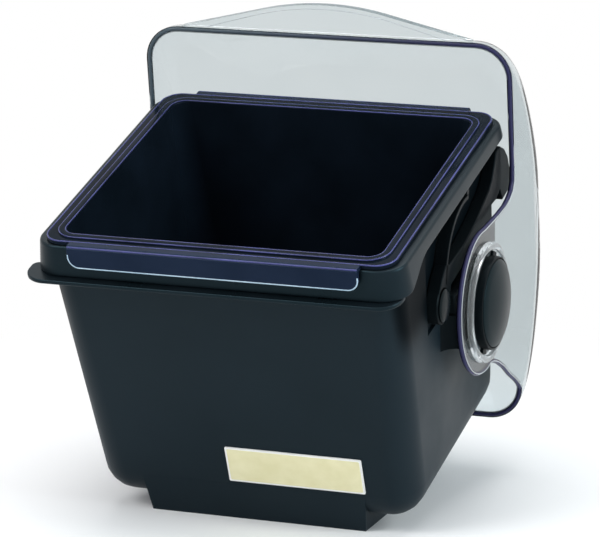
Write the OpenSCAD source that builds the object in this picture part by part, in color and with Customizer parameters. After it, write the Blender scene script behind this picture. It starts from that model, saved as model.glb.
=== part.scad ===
// Bar garnish tray: an ice tub that leans toward the user on a wedge foot, a lift-out tray,
// a flip-back dome lid on two pivot knobs, and two spring catch levers under the rim.
// Pieces are drawn level with the rim (front of the rim top at the origin, +Y toward the back),
// then leaned back and set down so that the centre of the foot's face is the part's origin.

/* [Tub] */
// Angle that the rim and the tub floor lean toward the user
lean = 15.8; // [8:0.2:22]
// Width over the rim top
rim_w = 132; // [126:1:150]
// Depth over the rim top
rim_d = 119; // [112:1:140]
// Height from the tub floor's underside to the rim top
tub_h = 105.5; // [90:0.5:125]
// Plan radius of the rim corners
rim_r = 9; // [5:0.5:14]
// Height of the rim band at the sides and the back
band_h = 5; // [3:0.5:7]
// Height of the rim skirt across the front
skirt_h = 11; // [8:0.5:14]
// Thickness of the ledge at the bottom of the front skirt
ledge_t = 1.5; // [1:0.1:3]
// How far the ledge stands out from the rim at the front and at its left wing
ledge_out = 3; // [1.5:0.25:4]
// How far the walls stand in from the rim edge
wall_inset = 1.8; // [1.5:0.1:4]
// How far the back wall stands in from the rim edge
back_inset = 3.5; // [2.5:0.25:5]
// Wall thickness of the tub
wall_t = 2.4; // [1.6:0.1:3.5]
// Draft of the side, front and back walls for each millimetre of height
draft = 0.05; // [0.02:0.01:0.08]
// Radius of the rounded bottom corners
bottom_r = 12; // [8:0.5:16]

/* [Foot] */
// Width of the foot's face on the ground
foot_w = 79.6; // [60:0.2:95]
// Depth of the foot's face on the ground
foot_d = 78; // [60:1:90]
// Height of the foot under the tub floor at its front edge
foot_drop = 3.5; // [2.5:0.5:12]
// Outward slant of the foot's sides for each millimetre of height
foot_slant = 0.12; // [0:0.01:0.2]

/* [Tray] */
// Width over the tray flange
tray_w = 126; // [118:1:144]
// Depth over the tray flange, without its lips
tray_d = 117; // [108:1:138]
// Depth of the tray basin below the rim top
tray_h = 62; // [35:1:75]
// Thickness of the tray wall and flange
tray_t = 1.6; // [1.2:0.1:2.4]
// Length of the front and rear grip lips
lip_w = 104; // [60:1:108]
// How far the lips hang below the rim top
lip_drop = 6.5; // [4:0.5:8]

/* [Lid] */
// Width over the lid's mouth flange
lid_w = 140.4; // [140:0.2:160]
// Distance from the pivot axis to the front of the mouth flange
lid_front = 82; // [82:0.5:100]
// Distance from the pivot axis to the back of the mouth flange
lid_back = 60; // [56:1:75]
// Wall thickness of the dome and of the ears
lid_t = 2; // [1.6:0.1:2.4]
// Height of the dome over its mouth
dome_h = 38; // [37:1:60]
// Plan radius of the mouth corners
mouth_r = 13; // [8:0.5:18]
// Thickness of the mouth flange
flange_t = 3; // [2:0.25:4]
// Height of the closed mouth flange above the ledge
flange_gap = 0.4; // [0.3:0.1:1]
// Opening angle of the lid
lid_open = 98; // [80:1:105]
// Radius of the round ears
ear_r = 25.2; // [24.6:0.2:27]
// How far the finger lip stands out at the front of the mouth
nose_out = 10.7; // [6:0.1:14]
// Width of the finger lip along the mouth
nose_w = 110; // [90:1:114]

/* [Pivot] */
// Distance of the pivot axis behind the front of the rim
pivot_y = 70.6; // [66:0.2:76]
// Distance of the pivot axis below the rim top
pivot_drop = 48.3; // [46:0.1:52]
// Radius of the tower boss that the lid ear turns on
boss_r = 10; // [8:0.25:12]
// Radial running clearance of the ear on the boss
run_gap = 0.08; // [0.03:0.01:0.1]
// Radius of the domed knob
knob_r = 16.4; // [14:0.1:17]
// Height of the knob's domed face above its rim
knob_dome_h = 3; // [1.5:0.25:5]
// Radius of the knob stem
stem_r = 6; // [4:0.25:8]
// Inner radius of the collar round the knob
collar_r = 18.6; // [18.2:0.1:20]

/* [Catch levers] */
// Distance of the lever pin behind the front of the rim
pin_y = 38.4; // [37:0.2:40]
// Distance of the lever pin below the rim top
pin_drop = 32.5; // [31:0.1:34]
// Radius of the lever pin
pin_r = 2; // [1.5:0.1:2.5]
// Radius of the lever pin's domed head
pin_head_r = 5.8; // [4:0.1:6]
// Thickness of the lever
lever_t = 4.6; // [3:0.1:5]
// Radius of the lever hub
hub_r = 6.6; // [5.5:0.1:7]
// Reach of the hook arm behind the lever pin
arm_reach = 80.2; // [78:0.1:81]
// Height of the hook's beak above the lever pin
hook_rise = 25.2; // [23:0.1:25.8]

/* [Label] */
// Width of the label
label_w = 50; // [30:1:60]
// Height of the label
label_h = 14.3; // [10:0.1:20]
// Thickness of the label
label_t = 0.6; // [0.4:0.1:1]

/* [Hidden] */
eps = 0.01;
seat = 0.3;
$fn = 64;

// Walls, measured level with the rim
rim_x = rim_w / 2;
wall_x = rim_x - wall_inset;
front_y = 1.5;
front_draft = 0.09;
back_y = rim_d - back_inset;
back_draft = 0.09;
floor_z = -tub_h;
round_z = floor_z + bottom_r;

// Levers hang in a pocket of each side wall, under the rim band
pocket_x = rim_x - 5.1;
lever_x0 = pocket_x + seat;
lever_x1 = lever_x0 + lever_t;
pocket_y0 = pin_y - hub_r - 1.5;
pocket_low_z = -pin_drop - hub_r - 1.2;
tower_top_z = -pin_drop - 0.5;
cavity_x = pocket_x - 1.7;
cavity_y0 = front_y + wall_t;
cavity_y1 = back_y - wall_t;

// The closed lid clears the flared rim and rests over the ledge
flare = 0.5;
skirt_flare = 1.1;
skirt_out = 1.3;
lid_in_x = rim_x + skirt_flare + 0.4;
lid_out_x = lid_in_x + lid_t;
lid_x = lid_w / 2;
mouth_z = -skirt_h + flange_gap;
lid_y0 = pivot_y - lid_front;
lid_y1 = pivot_y + lid_back;
tower_x = lid_in_x - 0.4;
boss_x = lid_out_x + 0.3;
knob_rim_x = boss_x + 3.4;
collar_x = lid_out_x + 2;
collar_t = 2.6;

// Middle of the round ear, measured from the pivot axis
ear_shift = [-0.8, -1.5];

// Stems and pins stop short of the ice well
fit_gap = 0.04;
stem_x0 = cavity_x - 0.5;
pin_x0 = cavity_x;
lug_out = 1.6;
lug_w = 4;
lug_t = 1.2;
lug_angles = [56, 236];
arm_low = 2.9;

// The tray hangs by its flange on the rim, its lips outside it
basin_x = cavity_x - 0.6;
basin_y0 = cavity_y0 + 0.6;
basin_y1 = cavity_y1 - 0.6;
tray_y0 = (rim_d - tray_d) / 2;
lip_gap = flare + seat;

// Foot face on the ground
foot_front_z = floor_z - foot_drop;
foot_front_y = wall_y(foot_front_z);
ground_z = foot_front_y * sin(lean) + foot_front_z * cos(lean);
ground_y = foot_front_y * cos(lean) - foot_front_z * sin(lean);

function wall_y(z) = front_y - front_draft * z;

// Place of the label on the front wall, measured from the middle and from the tub floor
label_x = 17;
label_z = floor_z + 20.1;
label_sink = 0.15;

// Moves a piece drawn level with the rim into the part's own frame
module set_down() {
    translate([0, -ground_y - foot_d / 2, -ground_z]) rotate([lean, 0, 0]) children();
}

// Swings the closed lid open about its pivot axis
module swing_open() {
    translate([0, pivot_y, -pivot_drop]) rotate([-lid_open, 0, 0]) translate([0, -pivot_y, pivot_drop])
        children();
}

// Draws a right-hand piece on the chosen side
module on_side(side) {
    mirror([side < 0 ? 1 : 0, 0, 0]) children();
}

// Lays a drawing of (y, z) points in the side plane and gives it a thickness from x0 to x1
module side_plate(x0, x1) {
    translate([x0, 0, 0]) rotate([90, 0, 90]) linear_extrude(x1 - x0) children();
}

// Cylinder along X from x0 to x1 round the point (y, z)
module cross_rod(x0, x1, y, z, r) {
    translate([x0, y, z]) rotate([0, 90, 0]) cylinder(r = r, h = x1 - x0);
}

// Rounded outline, centred on the tub's middle plane
module round_outline(half_w, y0, y1, r) {
    translate([-half_w + r, y0]) square([2 * (half_w - r), y1 - y0]);
    translate([-half_w, y0 + r]) square([2 * half_w, y1 - y0 - 2 * r]);
    for (x = [-half_w + r, half_w - r], y = [y0 + r, y1 - r])
        translate([x, y]) circle(r);
}

// Slab with a rounded outline
module slab(half_w, y0, y1, z0, z1, r) {
    translate([0, 0, z0]) linear_extrude(z1 - z0) round_outline(half_w, y0, y1, r);
}

// Tapered outer form of the tub, with a rounded bottom
module tub_form() {
    low_x = wall_x - draft * tub_h - bottom_r;
    low_y0 = wall_y(round_z) + bottom_r * norm([1, front_draft]);
    low_y1 = back_y + back_draft * round_z - bottom_r;
    hull() {
        slab(wall_x, front_y, back_y, -1.1, -1, rim_r, $fn = 32);
        for (x = [-low_x, low_x], y = [low_y0, low_y1])
            translate([x, y, round_z]) sphere(bottom_r, $fn = 32);
    }
}

// Space for ice under the tray
module tub_cavity() {
    r = bottom_r;
    low_x = cavity_x - draft * tub_h - r + 1;
    low_y0 = wall_y(round_z) + wall_t + r;
    low_y1 = back_y + back_draft * round_z - wall_t - r;
    hull() {
        slab(cavity_x, cavity_y0, cavity_y1, 0, 1, rim_r - wall_t, $fn = 32);
        for (x = [-low_x, low_x], y = [low_y0, low_y1])
            translate([x, y, floor_z + wall_t + r]) sphere(r, $fn = 32);
    }
}

// Band round the rim that flares a little toward its lower edge
module rim_band() {
    hull() {
        slab(rim_x, 0, rim_d, -1, 0, rim_r, $fn = 40);
        slab(rim_x + flare, -flare, rim_d + flare, -band_h, -band_h + 0.5, rim_r, $fn = 40);
    }
}

// Deeper skirt across the front that dies away along the sides
module front_skirt() {
    back = pocket_y0 - 4;
    intersection() {
        hull() {
            slab(rim_x + flare, -flare, rim_d, -band_h - 0.5, -band_h, rim_r, $fn = 40);
            slab(rim_x + skirt_flare, -skirt_out, rim_d, -skirt_h - eps, -skirt_h + 0.5, rim_r, $fn = 40);
        }
        side_plate(-rim_w, rim_w) polygon([[-10, -skirt_h - 1], [4, -skirt_h - 1], [10, -skirt_h + 1.5],
            [back - 7, -band_h - 1.4], [back, -band_h], [-10, -band_h]]);
    }
}

// Thin ledge at the bottom of the skirt: a round wing past the left corner, and a curl round the right one
module front_ledge() {
    wing_x = -rim_x - ledge_out - 1;
    curl_x = rim_x - 1;
    y0 = -skirt_out - ledge_out;
    r = 8;
    tip_r = 2.5;
    translate([0, 0, -skirt_h - ledge_t]) linear_extrude(ledge_t) {
        translate([wing_x + r, y0 + r]) circle(r);
        translate([wing_x + tip_r, y0 + r + 2]) circle(tip_r);
        translate([wing_x, y0 + r]) square([r, 2]);
        translate([wing_x + tip_r, y0 + r]) square([r, 2 + tip_r]);
        translate([wing_x + r, y0]) square([curl_x - wing_x - 2 * r, r + 2]);
        translate([curl_x - r, y0 + r]) circle(r);
        translate([curl_x - r, y0 + r]) square([r, 2]);
    }
}

// One pivot tower: a block with a soft front blend and the boss that the lid ear turns on
module tower() {
    root_x = pocket_x - 3.5;
    low_z = -pivot_drop - 5;
    front = pin_y + hub_r + 1.2;
    blend = 7;
    back = pivot_y + 1.5 * boss_r;
    translate([root_x, front, low_z]) cube([tower_x - root_x, back - front, tower_top_z - low_z]);
    cross_rod(root_x, tower_x, pivot_y, -pivot_drop, boss_r + 4);
    cross_rod(root_x, boss_x, pivot_y, -pivot_drop, boss_r);
    translate([0, 0, low_z]) linear_extrude(pocket_low_z - low_z) difference() {
        translate([root_x, front - blend]) square([tower_x - root_x, blend + 1]);
        translate([tower_x, front - blend]) circle(r = blend - 0.5);
    }
}

module base_tub() {
    color([0.12, 0.13, 0.14]) set_down() difference() {
        union() {
            difference() {
                tub_form();
                for (side = [-1, 1]) on_side(side) {
                    translate([pocket_x, pocket_y0, pocket_low_z])
                        cube([20, 2 * hub_r + 3, -band_h - pocket_low_z]);
                    translate([pocket_x, pocket_y0 + hub_r, tower_top_z])
                        cube([20, rim_d, -band_h - tower_top_z]);
                }
            }
            rim_band();
            front_skirt();
            front_ledge();
            for (side = [-1, 1]) on_side(side) tower();
        }
        tub_cavity();
        for (side = [-1, 1]) on_side(side) {
            cross_rod(stem_x0 - seat, boss_x + 1, pivot_y, -pivot_drop, stem_r + fit_gap);
            cross_rod(pin_x0 - seat, rim_x, pin_y, -pin_drop, pin_r + fit_gap);
        }
    }
}

// Hollow wedge between the leaning tub and the ground, closed by the tub's floor; its front lies
// flush with the tub's
module foot_wedge() {
    half = foot_w / 2;
    rise = 40;
    top = round_z + 0.5;
    color([0.13, 0.14, 0.15]) difference() {
        intersection() {
            translate([0, foot_d, 0]) rotate([90, 0, 0]) linear_extrude(2 * foot_d)
                polygon([[-half, 0], [half, 0], [half + foot_slant * rise, rise],
                    [-half - foot_slant * rise, rise]]);
            set_down() side_plate(-rim_w, rim_w) polygon([[foot_front_y, foot_front_z], [wall_y(top), top],
                [foot_front_y + foot_d, top],
                [foot_front_y + foot_d * cos(lean), foot_front_z - foot_d * sin(lean)]]);
        }
        set_down() tub_form();
        translate([-half + wall_t, -foot_d / 2 + wall_t, wall_t])
            cube([2 * (half - wall_t), foot_d - 2 * wall_t, rise]);
    }
}

// Basin of the tray; inset gives its inner form
module basin_form(inset) {
    r = 8;
    low_x = basin_x - 4 - r;
    low_z = -tray_h + r + inset;
    top_z = inset > 0 ? 4 : 1;
    hull() {
        slab(basin_x - inset, basin_y0 + inset, basin_y1 - inset, 0, top_z, rim_r - wall_t, $fn = 32);
        for (x = [-low_x + inset, low_x - inset],
             y = [basin_y0 + 5 + r + inset, basin_y1 - 5 - r - inset])
            translate([x, y, low_z]) sphere(r, $fn = 32);
    }
}

// Grip lip that hangs outside the rim, its top edge eased so that the lid swings past; for the front
module tray_lip() {
    half = lip_w / 2;
    out_y = -lip_gap - tray_t;
    end_r = 4;
    intersection() {
        translate([0, tray_y0 + 1, 0]) rotate([90, 0, 0]) linear_extrude(tray_y0 + 1 - out_y) {
            for (x = [-half + end_r, half - end_r]) translate([x, -lip_drop + end_r]) circle(end_r);
            translate([-half + end_r, -lip_drop]) square([lip_w - 2 * end_r, end_r]);
            translate([-half, -lip_drop + end_r]) square([lip_w, tray_t + lip_drop - end_r]);
        }
        side_plate(-half - 1, half + 1) polygon([[tray_y0 + 1, 0], [-lip_gap, 0], [-lip_gap, -lip_drop],
            [out_y, -lip_drop], [out_y, tray_t - 1], [out_y + 1, tray_t], [tray_y0 + 1, tray_t]]);
    }
}

module insert_tray() {
    bead = 1.2;
    color([0.22, 0.24, 0.34]) set_down() difference() {
        union() {
            slab(tray_w / 2, tray_y0, rim_d - tray_y0, 0, tray_t, rim_r - 2);
            slab(basin_x + bead, basin_y0 - bead, basin_y1 + bead, 0, tray_t + 0.8, rim_r - wall_t + bead);
            basin_form(0);
            tray_lip();
            translate([0, rim_d, 0]) mirror([0, 1, 0]) tray_lip();
        }
        basin_form(tray_t);
    }
}

// Clear dome, an arch from front to back between upright sides; inset gives its inner form.
// The sides stay upright as far up as the rim's corners swing, and the plan corners grow rounder.
module dome_form(inset) {
    mid_y = (lid_y0 + lid_y1) / 2;
    half_y = (lid_y1 - lid_y0) / 2;
    upright = 0.66 * dome_h;
    side_round = 12;
    crown_round = 38;
    hull() {
        if (inset > 0)
            slab(lid_out_x - inset, lid_y0 + inset, lid_y1 - inset, mouth_z - 1, mouth_z,
                mouth_r - inset, $fn = 40);
        for (part = [0.02, 0.2, 0.36, 0.5, 0.62, 0.72, 0.82, 0.91, 0.97, 0.995]) {
            high = part * dome_h;
            arch_y = half_y * sqrt(1 - part * part);
            over = max(0, high - upright) / (dome_h - upright);
            half_x = lid_out_x - side_round * (1 - sqrt(1 - over * over));
            corner = mouth_r + crown_round * part * part;
            slab(half_x - inset, mid_y - arch_y + inset, mid_y + arch_y - inset,
                mouth_z + high - inset * part, mouth_z + high - inset * part + eps,
                min(corner, arch_y) - inset, $fn = 40);
        }
    }
}

// Flat lip in the mouth plane for a finger: straight flanks that run into a round nose
module finger_lip() {
    half = nose_w / 2;
    nose_half = 25;
    nose_r = 100;
    steps = 12;
    root = 2;
    nose = [for (i = [-steps:steps]) let (x = nose_half * i / steps)
        [x, nose_r - nose_out - sqrt(nose_r * nose_r - x * x)]];
    translate([0, lid_y0, mouth_z]) linear_extrude(flange_t)
        polygon(concat([[-half, root], [-half, 0]], nose, [[half, 0], [half, root]]));
}

// Outline of an ear in the side plane: a round end that runs up into the dome's side
module ear_outline() {
    top = mouth_z + pivot_drop + 1;
    front = -ear_r - 0.5;
    back = ear_r - 2;
    translate([pivot_y, -pivot_drop]) {
        translate(ear_shift) circle(ear_r);
        polygon([[front + 1, -6], [front, top / 2], [front - 1.2, top - 7], [front - 4, top - 2.5],
            [front - 10.5, top], [back + 28, top], [back + 20, top - 6.5], [back + 8.2, top / 2],
            [back + 2.3, 9], [back, -2]]);
    }
}

// Round ear with its thick edge, the collar round the knob, and the hole that turns on the boss
module lid_ear() {
    edge = 2;
    bead = 0.9;
    difference() {
        union() {
            side_plate(lid_in_x, lid_out_x) ear_outline();
            side_plate(lid_out_x, lid_out_x + bead)
                    translate([pivot_y, -pivot_drop] + ear_shift) difference() {
                circle(ear_r);
                circle(ear_r - edge);
                translate([-2 * ear_r, 10]) square([4 * ear_r, 2 * ear_r]);
            }
            cross_rod(lid_out_x, collar_x, pivot_y, -pivot_drop, collar_r + collar_t);
        }
        cross_rod(lid_in_x - 1, collar_x + 1, pivot_y, -pivot_drop, boss_r + run_gap);
        cross_rod(lid_out_x, collar_x + 1, pivot_y, -pivot_drop, collar_r);
    }
}

module dome_lid() {
    color([0.75, 0.79, 0.82, 0.5]) set_down() swing_open() union() {
        difference() {
            union() {
                dome_form(0);
                finger_lip();
                slab(lid_x, lid_y0, lid_y1, mouth_z, mouth_z + flange_t, mouth_r);
            }
            dome_form(lid_t);
        }
        for (side = [-1, 1]) on_side(side) lid_ear();
    }
}

// Domed cap with two small lugs; its stem locks the lid's ear to the tower
module pivot_knob(side) {
    bulge_r = (knob_r * knob_r + knob_dome_h * knob_dome_h) / (2 * knob_dome_h);
    face_x = knob_rim_x + knob_dome_h;
    color([0.14, 0.15, 0.16]) set_down() on_side(side)
        translate([stem_x0, pivot_y, -pivot_drop]) {
            rotate([0, 90, 0]) rotate_extrude() {
                square([stem_r, boss_x - stem_x0 + 1]);
                intersection() {
                    translate([0, boss_x - stem_x0]) square([knob_r, face_x - boss_x]);
                    translate([0, face_x - stem_x0 - bulge_r]) circle(bulge_r, $fn = 360);
                }
            }
            for (angle = lug_angles)
                translate([boss_x - stem_x0, 0, 0]) rotate([angle, 0, 0])
                    translate([0, knob_r - 2, -lug_w / 2]) cube([lug_t, lug_out + 2, lug_w]);
    }
}

// Stout hook arm of a lever, drawn from its pin: top edge, hook at the back, then the tail edge
module hook_arm() {
    tail = arm_low + 1;
    notch = arm_reach - 22.6;
    beak = arm_reach - 8.6;
    translate([pin_y, -pin_drop])
        polygon([[-4, 5], [5, 11.5], [7.6, 12.3], [9.6, 10.5], [arm_reach / 3, 9.9],
            [notch - 7, 14.1], [notch + 2.4, 17.5], [beak - 4.6, hook_rise - 0.2], [beak, hook_rise],
            [beak + 4.4, hook_rise - 3.2], [arm_reach - 1.2, 17.5], [arm_reach, 11.5],
            [arm_reach - 1.4, 5.5], [beak - 2.2, 5], [beak - 4, 10], [notch + 5, 8.5], [notch, 9],
            [notch - 1, tail], [9.6, arm_low], [4.6, -3]]);
}

// Spring finger: an even strip along an arc that ends in a bead under the rim band
module spring_finger() {
    tip_y = pin_y + 34.2;
    bead_r = 1.3;
    thick = 1.5;
    bend_r = 26;
    bend_y = tip_y - 5;
    bend_z = -band_h - seat - 2 - bend_r;
    side_plate(lever_x0, lever_x1) intersection() {
        translate([bend_y, bend_z]) difference() {
            circle(bend_r, $fn = 128);
            circle(bend_r - thick, $fn = 128);
        }
        polygon([[pin_y - 2, -27], [pin_y - 2, 0], [tip_y, 0], [tip_y, -14], [pin_y + 7.6, -27]]);
    }
    cross_rod(lever_x0, lever_x1, tip_y, -band_h - seat - bead_r, bead_r, $fn = 32);
}

module catch_lever(side) {
    color([0.16, 0.17, 0.18]) set_down() on_side(side) difference() {
        union() {
            cross_rod(lever_x0, lever_x1, pin_y, -pin_drop, hub_r);
            side_plate(lever_x0, lever_x1) hook_arm();
            spring_finger();
        }
        cross_rod(lever_x0 - 1, lever_x1 + 1, pin_y, -pin_drop, pin_r + run_gap);
    }
}

// Pin with a domed head that holds the lever against the tub
module lever_pin(side) {
    head_x = lever_x1 + 0.2;
    dome = 0.5;
    bulge_r = (pin_head_r * pin_head_r + dome * dome) / (2 * dome);
    color([0.2, 0.21, 0.22]) set_down() on_side(side)
        translate([pin_x0, pin_y, -pin_drop]) rotate([0, 90, 0]) rotate_extrude() {
            square([pin_r, head_x - pin_x0 + 0.2]);
            intersection() {
                translate([0, head_x - pin_x0]) square([pin_head_r, tower_x - head_x]);
                translate([0, tower_x - pin_x0 - bulge_r]) circle(bulge_r, $fn = 360);
            }
        }
}

// Blank label on the leaning front wall, low on the right
module label_plate() {
    color([0.93, 0.9, 0.72]) set_down()
        translate([label_x, wall_y(label_z) - label_sink, label_z]) rotate([90 + atan(front_draft), 0, 0])
            translate([-label_w / 2, -label_h / 2, 0]) cube([label_w, label_h, label_t]);
}

base_tub();
foot_wedge();
insert_tray();
dome_lid();
pivot_knob(-1);  // pivot_knob_left
pivot_knob(1);  // pivot_knob_right
catch_lever(-1);  // catch_lever_left
catch_lever(1);  // catch_lever_right
lever_pin(-1);  // lever_pin_left
lever_pin(1);  // lever_pin_right
label_plate();
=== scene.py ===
"""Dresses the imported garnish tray: moulded black tub, smoky tray, clear dome lid, knobs and levers.

Sizes are written in millimetres, level with the rim, as in the part's source. SET_DOWN moves a
piece into the part's own frame in metres, and LID_FRAME also swings the closed lid open. The
camera, the lamps and the floor are in metres.
"""
import math

import bmesh
import bpy
from mathutils import Matrix, Vector


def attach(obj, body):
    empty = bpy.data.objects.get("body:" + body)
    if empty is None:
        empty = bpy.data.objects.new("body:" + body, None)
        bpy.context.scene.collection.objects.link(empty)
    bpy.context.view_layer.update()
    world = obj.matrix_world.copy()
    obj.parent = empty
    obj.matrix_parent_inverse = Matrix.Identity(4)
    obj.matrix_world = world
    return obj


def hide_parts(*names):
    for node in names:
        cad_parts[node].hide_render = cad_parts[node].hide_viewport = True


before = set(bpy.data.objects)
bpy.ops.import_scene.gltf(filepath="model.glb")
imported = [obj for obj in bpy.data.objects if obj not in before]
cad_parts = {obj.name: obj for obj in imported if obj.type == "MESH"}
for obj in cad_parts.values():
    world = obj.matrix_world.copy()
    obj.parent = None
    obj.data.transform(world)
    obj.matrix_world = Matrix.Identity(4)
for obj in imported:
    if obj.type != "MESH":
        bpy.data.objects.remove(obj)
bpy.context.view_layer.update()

MM = 0.001

# Driving sizes of the tub and its foot, repeated from the part's source
LEAN = 15.8
RIM_W = 132.0
RIM_D = 119.0
RIM_R = 9.0
TUB_H = 105.5
BAND_H = 5.0
SKIRT_H = 11.0
LEDGE_T = 1.5
LEDGE_OUT = 3.0
WALL_INSET = 1.8
BACK_INSET = 3.5
WALL_T = 2.4
DRAFT = 0.05
BOTTOM_R = 12.0
FRONT_Y = 1.5
FRONT_DRAFT = 0.09
BACK_DRAFT = 0.09
FLARE = 0.5
SKIRT_FLARE = 1.1
SKIRT_OUT = 1.3
FOOT_D = 78.0
FOOT_DROP = 3.5

# Tray
TRAY_W = 126.0
TRAY_D = 117.0
TRAY_H = 62.0
TRAY_T = 1.6
LIP_W = 104.0
LIP_DROP = 6.5

# Lid
LID_FRONT = 82.0
LID_BACK = 60.0
LID_T = 2.0
DOME_H = 38.0
MOUTH_R = 13.0
FLANGE_T = 3.0
FLANGE_GAP = 0.4
LID_OPEN = 98.0
EAR_R = 25.2
EAR_SHIFT = (-0.8, -1.5)
NOSE_OUT = 10.7
NOSE_W = 110.0

# Pivot, knobs, levers and pins
PIVOT_Y = 70.6
PIVOT_DROP = 48.3
BOSS_R = 10.0
RUN_GAP = 0.08
KNOB_R = 16.4
KNOB_DOME_H = 3.0
STEM_R = 6.0
COLLAR_R = 18.6
COLLAR_T = 2.6
PIN_Y = 38.4
PIN_DROP = 32.5
PIN_R = 2.0
PIN_HEAD_R = 5.8
LEVER_T = 4.6
HUB_R = 6.6
SEAT = 0.3

# Label
LABEL_W = 50.0
LABEL_H = 14.3
LABEL_T = 0.6
LABEL_X = 17.0
LABEL_Z = -85.4

# Room and steps between neighbouring pieces
POCKET_DEPTH = 5.1
POCKET_ROOM = 1.5
POCKET_LOW_ROOM = 1.2
POCKET_WALL = 1.7
TOWER_DROP = 0.5
LID_SIDE_GAP = 0.4
BOSS_STEP = 0.3
KNOB_H = 3.4
COLLAR_H = 2.0
BASIN_GAP = 0.6

# Sizes that follow from them
RIM_X = RIM_W / 2
WALL_X = RIM_X - WALL_INSET
BACK_Y = RIM_D - BACK_INSET
FLOOR_Z = -TUB_H
POCKET_X = RIM_X - POCKET_DEPTH
POCKET_Y0 = PIN_Y - HUB_R - POCKET_ROOM
POCKET_LOW_Z = -PIN_DROP - HUB_R - POCKET_LOW_ROOM
TOWER_TOP_Z = -PIN_DROP - TOWER_DROP
LEVER_X0 = POCKET_X + SEAT
LEVER_X1 = LEVER_X0 + LEVER_T
CAVITY_X = POCKET_X - POCKET_WALL
CAVITY_Y0 = FRONT_Y + WALL_T
CAVITY_Y1 = BACK_Y - WALL_T
LID_IN_X = RIM_X + SKIRT_FLARE + LID_SIDE_GAP
LID_OUT_X = LID_IN_X + LID_T
MOUTH_Z = -SKIRT_H + FLANGE_GAP
LID_Y0 = PIVOT_Y - LID_FRONT
LID_Y1 = PIVOT_Y + LID_BACK
TOWER_X = LID_IN_X - LID_SIDE_GAP
BOSS_X = LID_OUT_X + BOSS_STEP
KNOB_RIM_X = BOSS_X + KNOB_H
COLLAR_X = LID_OUT_X + COLLAR_H
BASIN_X = CAVITY_X - BASIN_GAP
BASIN_Y0 = CAVITY_Y0 + BASIN_GAP
BASIN_Y1 = CAVITY_Y1 - BASIN_GAP
TRAY_Y0 = (RIM_D - TRAY_D) / 2
LIP_IN_Y = -(FLARE + SEAT)
LIP_OUT_Y = LIP_IN_Y - TRAY_T

# Camera fitted to the photograph: its place, and its axes as seen from the object
CAMERA_PLACE = (0.4300, -1.1297, 0.3575)
CAMERA_RIGHT = (0.93515, 0.35422, -0.00358)
CAMERA_UP = (-0.07559, 0.20940, 0.97490)
CAMERA_BACK = (0.34608, -0.91142, 0.22260)
CAMERA_LENS = 210.4
CAMERA_SENSOR = 36

# Mesh settings: edges sharper than ROUND_ANGLE are rounded, in ROUND_STEPS steps, and edges sharper
# than SHARP_ANGLE are shaded sharp, both in degrees; points closer than WELD are merged
WELD = 1e-4
LEAST_R = 0.05
ROUND_ANGLE = 35
ROUND_STEPS = 3
SHARP_ANGLE = 38
MIRROR_X = Matrix.Scale(-1, 4, (1, 0, 0))


# Frames

def wall_y(z):
    """Face of the front wall at a height."""
    return FRONT_Y - FRONT_DRAFT * z


def set_down_matrix():
    """Leans the part, and sets the middle of its foot's face on the origin."""
    lean = math.radians(LEAN)
    front_z = -TUB_H - FOOT_DROP
    front_y = wall_y(front_z)
    ground_y = front_y * math.cos(lean) - front_z * math.sin(lean)
    ground_z = front_y * math.sin(lean) + front_z * math.cos(lean)
    move = Matrix.Translation((0, -ground_y - FOOT_D / 2, -ground_z))
    return Matrix.Scale(MM, 4) @ move @ Matrix.Rotation(lean, 4, "X")


SET_DOWN = set_down_matrix()
PIVOT = Vector((0, PIVOT_Y, -PIVOT_DROP))
LID_FRAME = (SET_DOWN @ Matrix.Translation(PIVOT) @ Matrix.Rotation(-math.radians(LID_OPEN), 4, "X")
             @ Matrix.Translation(-PIVOT))


# Mesh helpers

def new_object(name, data):
    obj = bpy.data.objects.new(name, data)
    bpy.context.scene.collection.objects.link(obj)
    return obj


def mesh_from(name, points, faces):
    """Closed object with merged points and outward normals."""
    mesh = bpy.data.meshes.new(name)
    mesh.from_pydata([tuple(p) for p in points], [], faces)
    mesh.validate()
    tidy = bmesh.new()
    tidy.from_mesh(mesh)
    bmesh.ops.remove_doubles(tidy, verts=tidy.verts, dist=WELD)
    bmesh.ops.recalc_face_normals(tidy, faces=tidy.faces)
    tidy.to_mesh(mesh)
    tidy.free()
    return new_object(name, mesh)


def loft(name, rings, wrap=False):
    """Skins a stack of rings with the same number of points; wrap joins the last to the first."""
    count = len(rings[0])
    points = [p for ring in rings for p in ring]
    faces = []
    for i in range(len(rings) if wrap else len(rings) - 1):
        low = i * count
        high = (i + 1) % len(rings) * count
        for k in range(count):
            after = (k + 1) % count
            faces.append((low + k, low + after, high + after, high + k))
    if not wrap:
        faces.append(tuple(reversed(range(count))))
        faces.append(tuple(range(len(points) - count, len(points))))
    return mesh_from(name, points, faces)


def outline(half_w, y0, y1, r, arc, side):
    """Points of a rounded rectangle with their outward directions."""
    corners = [(half_w - r, y1 - r), (r - half_w, y1 - r), (r - half_w, y0 + r), (half_w - r, y0 + r)]
    found = []
    for i, corner in enumerate(corners):
        for k in range(arc + 1):
            turn = math.radians(90 * (i + k / arc))
            out = Vector((math.cos(turn), math.sin(turn)))
            found.append((Vector(corner) + r * out, out))
        here, out = found[-1]
        there = Vector(corners[(i + 1) % 4]) + r * out
        for k in range(1, side):
            found.append((here.lerp(there, k / side), out))
    return found


def ring(half_w, y0, y1, r, z, arc=8, side=10):
    """Rounded rectangle at a height."""
    return [Vector((p.x, p.y, z)) for p, _ in outline(half_w, y0, y1, max(r, LEAST_R), arc, side)]


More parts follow.
